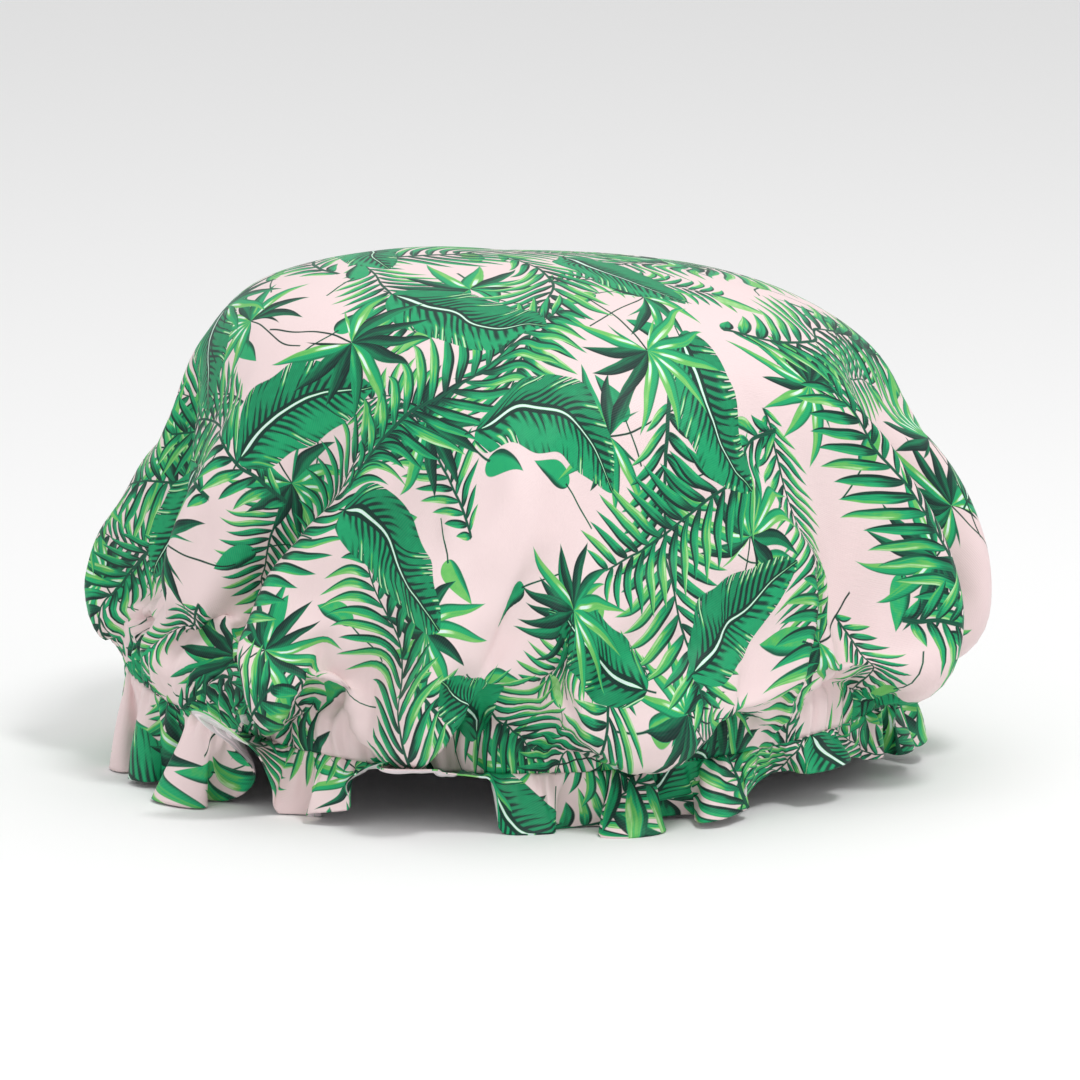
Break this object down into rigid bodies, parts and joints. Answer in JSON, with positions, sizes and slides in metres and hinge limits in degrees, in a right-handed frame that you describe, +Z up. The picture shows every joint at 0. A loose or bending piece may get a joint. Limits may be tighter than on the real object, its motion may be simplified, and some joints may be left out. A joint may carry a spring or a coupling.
{
  "type": "shower cap",
  "caption": "Gathered bouffant shower cap: a full printed cloth crown with a waterproof lining, drawn in by elastic in a casing, with a ruffle below it.",
  "frame": {"origin": "on the standing plane, under the middle of the cap's bounding box", "axes": "+Z up from the hem to the crown, +X to the right of the front view, +Y from front to back"},
  "size_m": [0.255, 0.2208, 0.15],
  "materials": {
    "printed_twill": "satin twill with a leaf print on pale pink",
    "ruffle_twill": "satin twill with a leaf print on pale pink",
    "liner_film": "thin translucent film",
    "casing_tape": "ribbed tape",
    "elastic": "knitted elastic",
    "thread": "sewing thread"
  },
  "bodies": {
    "root": {"crown_panel": "printed_twill", "ruffle": "ruffle_twill", "waterproof_liner": "liner_film", "casing_tape": "casing_tape", "elastic_band": "elastic", "elastic_bar_tack": "thread", "casing_stitch_upper": "thread", "casing_stitch_lower": "thread"}
  },
  "joints": []
}
